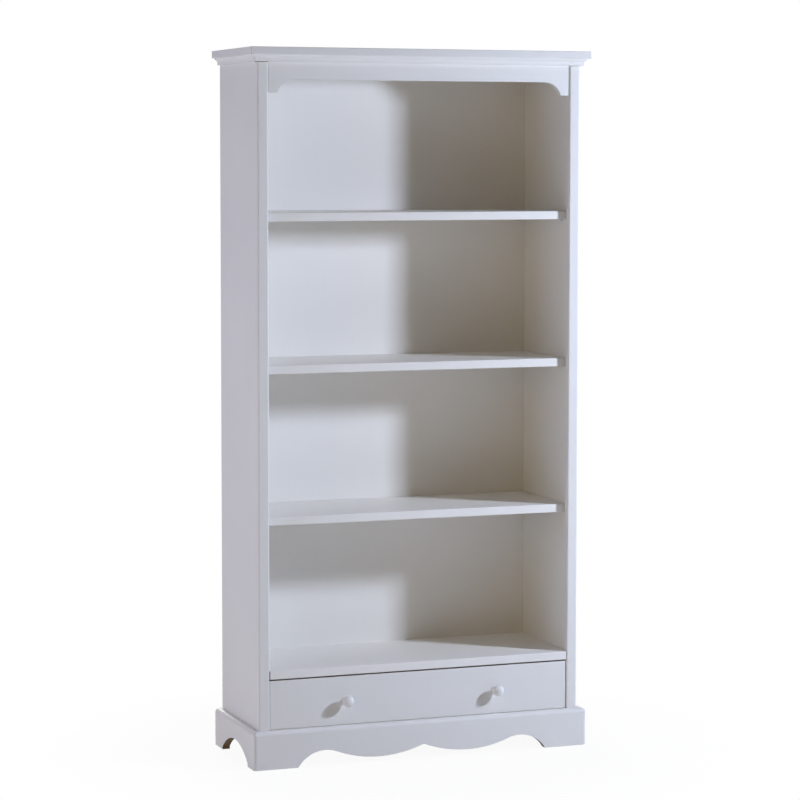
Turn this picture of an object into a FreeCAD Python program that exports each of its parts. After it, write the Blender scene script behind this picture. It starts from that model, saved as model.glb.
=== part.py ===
import FreeCAD, Part
import math
import os
from types import SimpleNamespace

import Sketcher

# A free-standing painted bookcase: an open case with three loose shelves, a moulded crown, a scalloped
# base and one wide inset drawer on roller rails. +Z is up, -Y is the front, and the origin lies on the
# floor under the middle of the whole piece, knobs included.

doc = FreeCAD.newDocument("Bookcase")

# Driving dimensions, in millimetres
DIMENSIONS = {
    # case
    "carcase_width": 890,       # over the outer faces of the sides
    "carcase_depth": 325,       # from the face of the stiles to the rear edge of the sides
    "board": 22,                # thickness of sides, shelves, deck and bottom panel
    "stile_width": 29,
    "stile_thickness": 18,
    "stile_easing": 4,          # rounding of the stiles' front edges
    "stile_joint": 1.6,         # shadow gap between a stile and the crown
    "board_joint": 1,           # shadow gap between a fixed board and a stile
    "side_drop": 21,            # how far the sides reach below the bottom panel
    "back_thickness": 5,
    "back_inset": 5,            # from the rear edge of the sides to the back panel
    "back_rebate": 10,          # width of the rebate that takes the back panel
    "back_fit": 0.5,            # play between the back panel and the rebate
    # clear heights, from the base upwards
    "drawer_opening": 131.5,
    "lower_bay": 373,
    "second_bay": 368,
    "third_bay": 368,
    "top_bay": 381.5,
    # shelves
    "shelf_setback": 22,        # behind the face of the stiles
    "shelf_easing": 2,
    "shelf_end_gap": 1.5,
    "shelf_rear_gap": 1,
    "pin_diameter": 5,
    "pin_reach": 10,            # length of a pin under the shelf
    "pin_depth": 12,            # length of a pin in the side
    "pin_inset": 36,            # from a shelf's front or rear edge
    # crown
    "cornice_thickness": 19,
    "cornice_overhang": 22,
    "cornice_easing": 1.5,
    "top_thickness": 18,        # of the top panel, and so the height of the moulding round it
    "moulding_reach": 16,
    "fillet_height": 7,         # flat strip at the foot of the moulding
    "fillet_reach": 7,
    "valance_height": 44,
    "valance_thickness": 18,
    "valance_setback": 2,       # behind the face of the stiles
    "valance_left_gap": 0.2,    # the valance is set a little to the left between the stiles
    "valance_right_gap": 3,
    "bracket_drop": 34,
    "bracket_foot": 25,         # from a stile to the curve of its bracket
    "bracket_run": 46,          # width of a bracket's curve
    # base
    "base_height": 98,
    "base_board": 20,
    "base_roundover": 10,
    "corner_easing": 8,
    "foot_width": 119,          # front feet, seen from the front
    "arch_run": 74,             # from a foot to the crest of its arch
    "arch_height": 41,
    "drop_reach": 125,          # from the middle to the lowest point of the scallop
    "drop_height": 13,
    "cusp_height": 37,          # middle point of the scallop
    "skirt_front_foot": 57,
    "skirt_rear_foot": 66,
    "skirt_step": 8,            # upright edge of a foot below the arch
    "skirt_arch": 50,
    "corner_block": 35,
    "back_rail_height": 46,
    "back_rail_thickness": 18,
    # drawer
    "drawer_left_gap": 0.4,     # the drawer front hangs low and to the left in its opening
    "drawer_right_gap": 2.6,
    "drawer_head_gap": 3.8,
    "drawer_foot_gap": 0.5,
    "drawer_setback": 2,        # behind the face of the stiles
    "drawer_front_thickness": 18,
    "drawer_front_easing": 1.5,
    "drawer_side_thickness": 12,
    "drawer_lift": 14,          # from the bottom panel to the drawer sides
    "drawer_top_room": 22.5,    # from the drawer sides to the deck
    "drawer_rear_room": 20,     # from the drawer to the back panel
    "drawer_panel": 4,          # thickness of the drawer's bottom
    "groove_lift": 10,
    "groove_depth": 6,
    "knob_spacing": 420,
    "knob_reach": 36,
    "knob_rim": 30,             # diameter where the domed face meets the back of the head
    "knob_dome": 11,            # height of the domed face
    "knob_tip": 2,              # diameter of the flat in the middle of the domed face
    "knob_belly": 11,           # from the rim to the neck
    "knob_neck": 13,
    "knob_foot": 18,
    # roller rails
    "slide_space": 12.5,        # from the drawer side to the edge of the stile
    "steel": 1.2,
    "rail_lift": 8.8,           # from the bottom panel to the cabinet rail
    "rail_gap": 2,              # behind the drawer front
    "rail_rear_room": 23,       # from the rails to the back panel
    "rail_lip": 11,             # part of the drawer rail under the drawer side
    "channel_width": 10,
    "flange_room": 1.2,         # from the drawer rail to the roof of the channel
    "flange_margin": 3,         # from the drawer rail's flange to the edge of the stile
    "flange_cutback": 7,        # from the end of the drawer rail's flange to the rear roller
    "roller_diameter": 18,      # front rollers
    "roller_play": 0.3,
    "roller_inset": 14,         # from the end of a rail to its axle
    "axle_diameter": 5,
    "axle_head": 0.8,
    "axle_head_diameter": 8,
    "packer_height": 45,
    # fasteners
    "bore_play": 0.05,
    "dowel_diameter": 8,
    "dowel_length": 36,
    "dowel_depth": 14,          # length of a dowel in a side, or in the top panel
    "dowel_inset": 50,
    "drawer_dowel_diameter": 6,
    "drawer_dowel_length": 28,
    "drawer_dowel_depth": 11,   # length of a drawer dowel in the drawer front
    "screw_diameter": 3.5,
    "screw_head_diameter": 7,
    "screw_head_height": 1.4,
    "back_screw_length": 18,
    "base_screw_length": 36,
    "rail_screw_length": 20,
    "drawer_screw_length": 30,
    "lip_screw_length": 9,
    "screw_inset": 40,
    "knob_screw_diameter": 4,
    "knob_screw_depth": 15,     # length of the screw in the knob
    "knob_screw_head_diameter": 9,
    "knob_screw_head_height": 2.5,
}

DOWEL_COUNT = 3             # in each end of a board
SIDE_SCREW_COUNT = 6        # through the back panel into each side
BOARD_SCREW_COUNT = 4       # through the back panel into the deck, and into the bottom panel
SKIRT_SCREW_COUNT = 3
RAIL_SCREW_COUNT = 3
OGEE_EASE = 1.6             # how much flatter the moulding's curve is than one with upright ends


class Size:
    """A length together with the formula over the sheet that gives it."""

    def __init__(self, number, formula):
        self.number = number
        self.formula = formula

    def joined(self, sign, other, number):
        return Size(number, "(%s %s %s)" % (self.formula, sign, other.formula))

    def __add__(self, other):
        other = as_size(other)
        return self.joined("+", other, self.number + other.number)

    def __sub__(self, other):
        other = as_size(other)
        return self.joined("-", other, self.number - other.number)

    def __mul__(self, other):
        other = as_size(other)
        return self.joined("*", other, self.number * other.number)

    def __truediv__(self, other):
        other = as_size(other)
        return self.joined("/", other, self.number / other.number)

    def __radd__(self, other):
        return as_size(other) + self

    def __rsub__(self, other):
        return as_size(other) - self

    def __rmul__(self, other):
        return as_size(other) * self

    def __neg__(self):
        return as_size(0) - self


def as_size(value):
    if isinstance(value, Size):
        return value
    return Size(float(value), str(value))


sheet = doc.addObject("Spreadsheet::Sheet", "Sizes")
size = SimpleNamespace()
for row, (alias, number) in enumerate(DIMENSIONS.items(), start=1):
    sheet.set("A%d" % row, alias)
    sheet.set("B%d" % row, str(number))
    sheet.setAlias("B%d" % row, alias)
    setattr(size, alias, Size(float(number), "Sizes." + alias))
doc.recompute()

# Planes that several pieces share
half_width = size.carcase_width / 2
inner_half = half_width - size.board
opening_half = half_width - size.stile_width
front = (size.knob_reach - size.drawer_setback - size.carcase_depth) / 2
rear = front + size.carcase_depth
stile_rear = front + size.stile_thickness
back_face = rear - size.back_inset - size.back_thickness
back_rear = rear - size.back_inset

base_top = size.base_height
bottom_underside = base_top - size.board
carcase_foot = bottom_underside - size.side_drop
deck_underside = base_top + size.drawer_opening
deck_top = deck_underside + size.board
lower_shelf_underside = deck_top + size.lower_bay
middle_shelf_underside = lower_shelf_underside + size.board + size.second_bay
upper_shelf_underside = middle_shelf_underside + size.board + size.third_bay
carcase_top = upper_shelf_underside + size.board + size.top_bay
cornice_underside = carcase_top + size.top_thickness

SIDES = (("left", -1), ("right", 1))
AXES = {"X": FreeCAD.Vector(1, 0, 0), "Y": FreeCAD.Vector(0, 1, 0), "Z": FreeCAD.Vector(0, 0, 1)}

# The blank of each piece by its node name, and the bores that are to be cut from it
blanks = {}
bores = {}
trimmed = []


def blank(node, piece):
    blanks[node] = piece
    bores[node] = []


def drill(bore, *nodes):
    for node in nodes:
        bores[node].append(bore)


def place(piece, x, y, z):
    for axis, length in (("x", x), ("y", y), ("z", z)):
        piece.setExpression("Placement.Base." + axis, as_size(length).formula)


def span(sign, near, far):
    """The range from near to far on the right of the middle, or its mirror image on the left."""
    return (near, far) if sign > 0 else (-far, -near)


def box(name, x, y, z):
    piece = doc.addObject("Part::Box", name)
    for side, (low, high) in (("Length", x), ("Width", y), ("Height", z)):
        piece.setExpression(side, (high - low).formula)
    place(piece, x[0], y[0], z[0])
    return piece


def rod(name, axis, start, length, diameter, sign=1):
    """A cylinder that leaves its start point along an axis, or against it where sign is -1."""
    piece = doc.addObject("Part::Cylinder", name)
    piece.setExpression("Radius", (diameter / 2).formula)
    piece.setExpression("Height", length.formula)
    piece.Placement.Rotation = FreeCAD.Rotation(AXES["Z"], AXES[axis] * sign)
    place(piece, *start)
    return piece


def along(axis, point, length):
    """The point moved by a length along an axis."""
    return tuple(as_size(p) + length if a == axis else p for a, p in zip("XYZ", point))


def compound(name, pieces):
    group = doc.addObject("Part::Compound", name)
    group.Links = pieces
    return group


def cut(name, piece, tools):
    result = doc.addObject("Part::Cut", name)
    result.Base = piece
    result.Tool = compound(name + "_tools", tools)
    return result


def fuse(name, base, tool):
    result = doc.addObject("Part::Fuse", name)
    result.Base = base
    result.Tool = tool
    return result


def new_sketch(body, plane):
    sketch = body.newObject("Sketcher::SketchObject", body.Name + "_sketch")
    support = next(feature for feature in body.Origin.OriginFeatures if feature.Role == plane)
    sketch.AttachmentSupport = [(support, "")]
    sketch.MapMode = "FlatFace"
    return sketch


def arc_between(start, end, radius):
    """The short arc between two points: to the left of the way for a positive radius, else to the right."""
    chord = end - start
    height = math.sqrt(radius * radius - (chord.Length / 2) ** 2)
    left = FreeCAD.Vector(-chord.y, chord.x, 0).normalize()
    centre = (start + end) * 0.5 + left * math.copysign(height, radius)
    if radius < 0:
        start, end = end, start
    angles = [math.atan2(p.y - centre.y, p.x - centre.x) for p in (start, end)]
    circle = Part.Circle(centre, AXES["Z"], abs(radius))
    return Part.ArcOfCircle(circle, angles[0], angles[1])


def draw_loop(sketch, corners):
    """A closed line through the corners; a corner's third value is the radius of the arc that leaves it."""
    points = [FreeCAD.Vector(as_size(c[0]).number, as_size(c[1]).number, 0) for c in corners]
    edges = []
    for index, corner in enumerate(corners):
        start, end = points[index], points[(index + 1) % len(points)]
        if len(corner) == 2:
            edge = sketch.addGeometry(Part.LineSegment(start, end))
            edges.append((edge, 1, 2))
            continue
        radius = corner[2]
        edge = sketch.addGeometry(arc_between(start, end, radius.number))
        edges.append((edge, 1, 2) if radius.number > 0 else (edge, 2, 1))
        bind(sketch, "Radius", (edge,), radius if radius.number > 0 else -radius)
    for index, (edge, first, last) in enumerate(edges):
        following, start, end = edges[(index + 1) % len(edges)]
        sketch.addConstraint(Sketcher.Constraint("Coincident", edge, last, following, start))
        bind(sketch, "DistanceX", (edge, first), as_size(corners[index][0]))
        bind(sketch, "DistanceY", (edge, first), as_size(corners[index][1]))


def bind(sketch, kind, place_on, length):
    index = sketch.addConstraint(Sketcher.Constraint(kind, *place_on, length.number))
    sketch.setExpression("Constraints[%d]" % index, length.formula)


def pad(body, sketch, length, side="One side", backwards=False):
    feature = body.newObject("PartDesign::Pad", body.Name + "_pad")
    feature.Profile = sketch
    feature.setExpression("Length", length.formula)
    feature.SideType = side
    feature.Reversed = backwards


def pocket(body, plane, *loops):
    """Cut the loops right through the body, both ways from their plane."""
    before = body.Tip
    sketch = new_sketch(body, plane)
    for corners in loops:
        draw_loop(sketch, corners)
    feature = body.newObject("PartDesign::Pocket", body.Name + "_pocket")
    feature.Profile = sketch
    feature.Type = "ThroughAll"
    feature.SideType = "Symmetric"
    trimmed.append((before, feature))


def prism(name, plane, corners, length, side="One side", backwards=False):
    body = doc.addObject("PartDesign::Body", name + "_body")
    sketch = new_sketch(body, plane)
    draw_loop(sketch, corners)
    pad(body, sketch, length, side, backwards)
    return body


def ease_face(body, radius, direction):
    """Round the edges of the face that looks furthest along a direction."""
    doc.recompute()
    faces = body.Tip.Shape.Faces
    furthest = max(range(len(faces)), key=lambda index: faces[index].CenterOfMass.dot(direction))
    fillet = body.newObject("PartDesign::Fillet", body.Name + "_easing")
    fillet.Base = (fillet.BaseFeature, ["Face%d" % (furthest + 1)])
    fillet.setExpression("Radius", radius.formula)


def screw(name, axis, seat, length, sign):
    """A pan-head screw that goes in from its seat along an axis, and the bore for its shank."""
    shank = rod(name + "_shank", axis, seat, length, size.screw_diameter, sign)
    head = rod(name + "_head", axis, seat, size.screw_head_height, size.screw_head_diameter, -sign)
    bore_diameter = size.screw_diameter + 2 * size.bore_play
    bore = rod(name + "_bore", axis, seat, length + size.bore_play, bore_diameter, sign)
    return fuse(name, shank, head), bore


def dowel(name, axis, start, length, diameter):
    """A dowel and the bore that it fills in both of its boards."""
    pin = rod(name, axis, start, length, diameter)
    bore_start = along(axis, start, -size.bore_play)
    bore = rod(name + "_bore", axis, bore_start, length + 2 * size.bore_play, diameter + 2 * size.bore_play)
    return pin, bore


def spread(low, high, count):
    """Places at equal steps from low to high."""
    return [low + (high - low) * step / (count - 1) for step in range(count)]


# Sides: plain boards behind the stiles, rebated at the rear for the back panel
for hand, sign in SIDES:
    board = box(hand + "_side_board", span(sign, inner_half, half_width), (stile_rear, rear),
                (carcase_foot, carcase_top))
    rebate = box(hand + "_rebate", span(sign, inner_half, inner_half + size.back_rebate), (back_face, rear),
                 (carcase_foot, carcase_top))
    blank(hand + "_side", board)
    drill(rebate, hand + "_side")

# Stiles: the uprights of the face frame, with rounded front edges
for hand, sign in SIDES:
    left, right = span(sign, opening_half, half_width)
    easing = size.stile_easing
    section = [
        (left, front + easing, easing),
        (left + easing, front),
        (right - easing, front, easing),
        (right, front + easing),
        (right, stile_rear),
        (left, stile_rear),
    ]
    stile = prism(hand + "_stile", "XY_Plane", section, carcase_top - size.stile_joint - carcase_foot)
    place(stile, 0, 0, carcase_foot)
    blank(hand + "_stile", stile)

# Back panel: one thin sheet in the rebates, from the bottom panel to the top panel
panel_half = inner_half + size.back_rebate - size.back_fit
blank("back_panel", box("back_sheet", (-panel_half, panel_half), (back_face, back_rear),
                        (bottom_underside, carcase_top)))

# Top panel: the board on the sides that carries the crown
blank("top_panel", box("top_board", (-half_width, half_width), (front, rear),
                       (carcase_top, cornice_underside)))


def shelf_board(name, half_length, face, end, underside):
    """A board across the case with a rounded front edge."""
    easing = size.shelf_easing
    section = [
        (face + easing, size.board, easing),
        (face, size.board - easing),
        (face, easing, easing),
        (face + easing, 0),
        (end, 0),
        (end, size.board),
    ]
    shelf = prism(name, "YZ_Plane", section, 2 * half_length, "Symmetric")
    place(shelf, 0, 0, underside)
    return shelf


# Deck over the drawer and bottom panel under it: fixed boards, notched round the stiles
for node, underside in (("deck", deck_underside), ("bottom_panel", bottom_underside)):
    blank(node, shelf_board(node, inner_half, front, back_face, underside))
    for hand, sign in SIDES:
        notch = box("%s_%s_notch" % (node, hand), span(sign, opening_half - size.board_joint, inner_half),
                    (front, stile_rear), (underside, underside + size.board))
        drill(notch, node)

# Loose shelves and the pins that they lie on
shelf_half = inner_half - size.shelf_end_gap
shelf_face = front + size.shelf_setback
shelf_end = back_face - size.shelf_rear_gap
pins = []
for shelf, underside in (("lower", lower_shelf_underside), ("middle", middle_shelf_underside),
                         ("upper", upper_shelf_underside)):
    blank(shelf + "_shelf", shelf_board(shelf + "_shelf", shelf_half, shelf_face, shelf_end, underside))
    for hand, sign in SIDES:
        for end, along_y in (("front", shelf_face + size.pin_inset), ("rear", shelf_end - size.pin_inset)):
            name = "%s_%s_%s_pin" % (shelf, hand, end)
            start = span(sign, inner_half - size.pin_reach, inner_half + size.pin_depth)[0]
            height = underside - size.pin_diameter / 2
            pin, bore = dowel(name, "X", (start, along_y, height), size.pin_reach + size.pin_depth,
                              size.pin_diameter)
            pins.append(pin)
            drill(bore, hand + "_side")
blank("shelf_pins", compound("shelf_pin_set", pins))

# Cornice board: the flat top with its overhang at the front and the ends
overhang = size.cornice_overhang
cornice_half = half_width + overhang
cornice_outline = [
    (-cornice_half, front - overhang),
    (cornice_half, front - overhang),
    (cornice_half, rear),
    (-cornice_half, rear),
]
cornice = prism("cornice", "XY_Plane", cornice_outline, size.cornice_thickness)
ease_face(cornice, size.cornice_easing, AXES["Z"])
place(cornice, 0, 0, cornice_underside)
blank("cornice_board", cornice)


# Crown: a moulding round the top panel, mitred at the front corners
def moulding_section(outward):
    """The moulding's section; outward turns a reach from the case into a place on the section's plane."""
    run = size.moulding_reach - size.fillet_reach
    rise = size.top_thickness - size.fillet_height
    radius = OGEE_EASE * (run * run + rise * rise) / (4 * run)
    turn = 1 if outward(size.board).number > outward(0).number else -1
    return [
        (outward(0), carcase_top),
        (outward(size.fillet_reach), carcase_top),
        (outward(size.fillet_reach), carcase_top + size.fillet_height, -turn * radius),
        (outward(size.fillet_reach + run / 2), cornice_underside - rise / 2, turn * radius),
        (outward(size.moulding_reach), cornice_underside),
        (outward(0), cornice_underside),
    ]


def mitre_front(body, reach):
    """Cut both ends of a front board to the mitre."""
    triangles = []
    for hand, sign in SIDES:
        triangles.append([
            (sign * half_width, front),
            (sign * (half_width + reach), front - reach),
            (sign * (half_width + reach), front),
        ])
    pocket(body, "XY_Plane", *triangles)


def mitre_side(body, sign, reach):
    """Cut the front end of a side board to the mitre; the board starts at the front of its body."""
    pocket(body, "XY_Plane", [
        (sign * half_width, 0),
        (sign * (half_width + reach), 0),
        (sign * half_width, reach),
    ])


reach = size.moulding_reach
crown_front = prism("crown_front", "YZ_Plane", moulding_section(lambda out: front - out),
                    2 * (half_width + reach), "Symmetric")
mitre_front(crown_front, reach)
blank("crown_front", crown_front)
for hand, sign in SIDES:
    section = moulding_section(lambda out: sign * (half_width + out))
    crown_side = prism("crown_" + hand, "XZ_Plane", section, size.carcase_depth + reach, backwards=True)
    mitre_side(crown_side, sign, reach)
    place(crown_side, 0, front - reach, 0)
    blank("crown_" + hand, crown_side)

# Valance: hangs between the stiles under the top panel, with a curved bracket at each end
valance_left = size.valance_left_gap - opening_half
valance_right = opening_half - size.valance_right_gap
valance_foot = carcase_top - size.valance_height
bracket_foot = valance_foot - size.bracket_drop
bracket_inner = opening_half - size.bracket_foot
bracket_radius = (size.bracket_run * size.bracket_run + size.bracket_drop * size.bracket_drop) \
    / (2 * size.bracket_drop)
valance_outline = [
    (valance_left, carcase_top),
    (valance_left, bracket_foot),
    (-bracket_inner, bracket_foot, -bracket_radius),
    (size.bracket_run - bracket_inner, valance_foot),
    (bracket_inner - size.bracket_run, valance_foot, -bracket_radius),
    (bracket_inner, bracket_foot),
    (valance_right, bracket_foot),
    (valance_right, carcase_top),
]
valance = prism("valance", "XZ_Plane", valance_outline, size.valance_thickness, backwards=True)
place(valance, 0, front + size.valance_setback, 0)
blank("valance", valance)

# Base: boards round the foot of the case, rounded over at the top and mitred at the front corners
base_half = half_width + size.base_board


def base_section(outward):
    """A base board's section; outward turns a reach from the case into a place on the section's plane."""
    roundover = size.base_roundover
    turn = 1 if outward(size.board).number > outward(0).number else -1
    return [
        (outward(0), 0),
        (outward(size.base_board), 0),
        (outward(size.base_board), base_top - roundover, turn * roundover),
        (outward(size.base_board - roundover), base_top),
        (outward(0), base_top),
    ]


def ease_corner(body, sign, corner_front):
    """Round the upright corner where a base board's mitre comes to its point."""
    easing = size.corner_easing
    pocket(body, "XY_Plane", [
        (sign * base_half, corner_front),
        (sign * base_half, corner_front + easing, -sign * easing),
        (sign * (base_half - easing), corner_front),
    ])


# The scallop runs from each foot over an arch and down an ogee to the drop, then up to the middle point
arch_crest = base_half - size.foot_width - size.arch_run
arch_radius = (size.arch_run * size.arch_run + size.arch_height * size.arch_height) / (2 * size.arch_height)
ogee_run = arch_crest - size.drop_reach
ogee_fall = size.arch_height - size.drop_height
ogee_radii = (ogee_run * ogee_run + ogee_fall * ogee_fall) / (2 * ogee_fall)
drop_radius = ogee_radii - arch_radius
ogee_share = arch_radius / ogee_radii
cusp_rise = size.cusp_height - size.drop_height
cusp_radius = (size.drop_reach * size.drop_reach + cusp_rise * cusp_rise) / (2 * cusp_rise)
foot_inner = base_half - size.foot_width
ogee_turn = (arch_crest - ogee_run * ogee_share, size.arch_height - ogee_fall * ogee_share)
scallop = [
    (foot_inner, 0, arch_radius),
    (*ogee_turn, -drop_radius),
    (size.drop_reach, size.drop_height, -cusp_radius),
    (0, size.cusp_height, -cusp_radius),
    (-size.drop_reach, size.drop_height, -drop_radius),
    (-ogee_turn[0], ogee_turn[1], arch_radius),
    (-foot_inner, 0),
]
apron = prism("base_apron", "YZ_Plane", base_section(lambda out: front - out), 2 * base_half, "Symmetric")
pocket(apron, "XZ_Plane", scallop)
mitre_front(apron, size.base_board)
for hand, sign in SIDES:
    ease_corner(apron, sign, front - size.base_board)
blank("base_apron", apron)

# Side skirts: the same board with one low arch between two feet
skirt_length = size.carcase_depth + size.base_board
arch_span = skirt_length - size.skirt_front_foot - size.skirt_rear_foot
arch_rise = size.skirt_arch - size.skirt_step
skirt_radius = (arch_span * arch_span / 4 + arch_rise * arch_rise) / (2 * arch_rise)
for hand, sign in SIDES:
    section = base_section(lambda out: sign * (half_width + out))
    skirt = prism("base_%s_skirt" % hand, "XZ_Plane", section, skirt_length, backwards=True)
    pocket(skirt, "YZ_Plane", [
        (size.skirt_front_foot, 0),
        (skirt_length - size.skirt_rear_foot, 0),
        (skirt_length - size.skirt_rear_foot, size.skirt_step, skirt_radius),
        (size.skirt_front_foot, size.skirt_step),
    ])
    mitre_side(skirt, sign, size.base_board)
    ease_corner(skirt, sign, 0)
    place(skirt, 0, front - size.base_board, 0)
    blank("base_%s_skirt" % hand, skirt)

# Corner blocks in the front of the base, which the stiles stand on
block_rear = front + size.corner_block
blocks = []
for hand, sign in SIDES:
    width = span(sign, half_width - size.corner_block, half_width)
    blocks.append(box(hand + "_block", width, (front, block_rear), (as_size(0), carcase_foot)))
blank("base_corner_blocks", compound("corner_block_set", blocks))

# Back rail: a board on edge between the feet of the sides, under the bottom panel
back_rail_face = back_face - size.back_rail_thickness
blank("base_back_rail", box("back_rail_board", (-inner_half, inner_half), (back_rail_face, back_face),
                            (bottom_underside - size.back_rail_height, bottom_underside)))

# Dowels: three in each end of the deck and the bottom panel, and three up into the top panel at each side
dowels = []
dowel_rows = spread(stile_rear + size.dowel_inset, back_face - size.dowel_inset, DOWEL_COUNT)
dowel_tail = size.dowel_length - size.dowel_depth
for hand, sign in SIDES:
    for row, depth in enumerate(dowel_rows):
        start = span(sign, inner_half - dowel_tail, inner_half + size.dowel_depth)[0]
        for node, underside in (("deck", deck_underside), ("bottom_panel", bottom_underside)):
            peg, bore = dowel("%s_%s_dowel_%d" % (node, hand, row), "X",
                              (start, depth, underside + size.board / 2), size.dowel_length,
                              size.dowel_diameter)
            dowels.append(peg)
            drill(bore, node, hand + "_side")
        upright = (sign * (half_width - size.board / 2), depth, carcase_top - dowel_tail)
        peg, bore = dowel("top_%s_dowel_%d" % (hand, row), "Z", upright, size.dowel_length,
                          size.dowel_diameter)
        dowels.append(peg)
        drill(bore, "top_panel", hand + "_side")
blank("carcase_dowels", compound("dowel_set", dowels))

# Back screws: up both sides, and along the deck and the bottom panel
back_screws = []
for hand, sign in SIDES:
    across = sign * (inner_half + size.back_rebate / 2)
    for step, height in enumerate(spread(deck_top + size.screw_inset, carcase_top - size.screw_inset,
                                         SIDE_SCREW_COUNT)):
        piece, bore = screw("back_%s_screw_%d" % (hand, step), "Y", (across, back_rear, height),
                            size.back_screw_length, -1)
        back_screws.append(piece)
        drill(bore, "back_panel", hand + "_side")
for node, underside in (("deck", deck_underside), ("bottom_panel", bottom_underside)):
    for step, across in enumerate(spread(size.screw_inset - inner_half, inner_half - size.screw_inset,
                                         BOARD_SCREW_COUNT)):
        piece, bore = screw("back_%s_screw_%d" % (node, step), "Y",
                            (across, back_rear, underside + size.board / 2), size.back_screw_length, -1)
        back_screws.append(piece)
        drill(bore, "back_panel", node)
blank("back_screws", compound("back_screw_set", back_screws))

# Base screws: through the foot of each side into its skirt, from inside
base_screws = []
for hand, sign in SIDES:
    for step, depth in enumerate(spread(block_rear + size.screw_inset, back_rail_face - size.screw_inset,
                                        SKIRT_SCREW_COUNT)):
        seat = (sign * inner_half, depth, (carcase_foot + bottom_underside) / 2)
        piece, bore = screw("base_%s_screw_%d" % (hand, step), "X", seat, size.base_screw_length, sign)
        base_screws.append(piece)
        drill(bore, hand + "_side", "base_%s_skirt" % hand)
blank("base_screws", compound("base_screw_set", base_screws))

# Drawer front: one inset board, a little behind the face of the stiles
drawer_face = front + size.drawer_setback
front_left = size.drawer_left_gap - opening_half
front_right = opening_half - size.drawer_right_gap
front_foot = base_top + size.drawer_foot_gap
front_head = deck_underside - size.drawer_head_gap
front_rear = drawer_face + size.drawer_front_thickness
front_outline = [
    (front_left, front_foot),
    (front_right, front_foot),
    (front_right, front_head),
    (front_left, front_head),
]
front_board = prism("drawer_front", "XZ_Plane", front_outline, size.drawer_front_thickness, backwards=True)
ease_face(front_board, size.drawer_front_easing, -AXES["Y"])
place(front_board, 0, drawer_face, 0)
blank("drawer_front", front_board)

# Drawer box: sides, back and a thin bottom in grooves
box_half = opening_half - size.slide_space
box_inner = box_half - size.drawer_side_thickness
box_foot = base_top + size.drawer_lift
box_head = deck_underside - size.drawer_top_room
box_rear = back_face - size.drawer_rear_room
back_inner = box_rear - size.drawer_side_thickness
panel_heights = (box_foot + size.groove_lift, box_foot + size.groove_lift + size.drawer_panel)
panel_width = (-box_inner - size.groove_depth, box_inner + size.groove_depth)
panel_depth = (front_rear - size.groove_depth, back_inner + size.groove_depth)
blank("drawer_bottom", box("drawer_bottom_sheet", panel_width, panel_depth, panel_heights))
blank("drawer_back", box("drawer_back_board", (-box_inner, box_inner), (back_inner, box_rear),
                         (box_foot, box_head)))
groove = box("drawer_groove", panel_width, panel_depth, panel_heights)
drill(groove, "drawer_front", "drawer_back")
for hand, sign in SIDES:
    node = "drawer_%s_side" % hand
    blank(node, box(node + "_board", span(sign, box_inner, box_half), (front_rear, box_rear),
                    (box_foot, box_head)))
    drill(box(node + "_groove", panel_width, (front_rear, panel_depth[1]), panel_heights), node)

# Drawer dowels join the front to the sides, and screws join the sides to the back
drawer_dowels = []
drawer_screws = []
joint_heights = (panel_heights[1] + size.dowel_diameter, box_head - size.dowel_diameter)
for hand, sign in SIDES:
    node = "drawer_%s_side" % hand
    for step, height in enumerate(joint_heights):
        middle = sign * (box_half - size.drawer_side_thickness / 2)
        start = (middle, front_rear - size.drawer_dowel_depth, height)
        peg, bore = dowel("%s_dowel_%d" % (node, step), "Y", start, size.drawer_dowel_length,
                          size.drawer_dowel_diameter)
        drawer_dowels.append(peg)
        drill(bore, node, "drawer_front")
        seat = (sign * box_half, box_rear - size.drawer_side_thickness / 2, height)
        piece, bore = screw("%s_screw_%d" % (node, step), "X", seat, size.drawer_screw_length, -sign)
        drawer_screws.append(piece)
        drill(bore, node, "drawer_back")
blank("drawer_dowels", compound("drawer_dowel_set", drawer_dowels))
blank("drawer_screws", compound("drawer_screw_set", drawer_screws))

# Knobs: turned, with a domed face and a waisted neck, each held by a screw from inside the drawer
tip_radius = size.knob_tip / 2
rim_radius = size.knob_rim / 2
neck_radius = size.knob_neck / 2
foot_radius = size.knob_foot / 2
rim_at = size.knob_reach - size.knob_dome
neck_at = rim_at - size.knob_belly
dome_run = rim_radius - tip_radius
dome_radius = (dome_run * dome_run + size.knob_dome * size.knob_dome) / (2 * size.knob_dome)
belly_run = rim_radius - neck_radius
belly_radius = (belly_run * belly_run + size.knob_belly * size.knob_belly) / (2 * size.knob_belly)
cove_run = foot_radius - neck_radius
cove_radius = (cove_run * cove_run + neck_at * neck_at) / (2 * cove_run)
knob_section = [
    (0, -size.knob_reach),
    (tip_radius, -size.knob_reach, dome_radius),
    (rim_radius, -rim_at, belly_radius),
    (neck_radius, -neck_at, -cove_radius),
    (foot_radius, 0),
    (0, 0),
]
knob_height = (base_top + deck_underside) / 2
knob_screws = []
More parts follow.
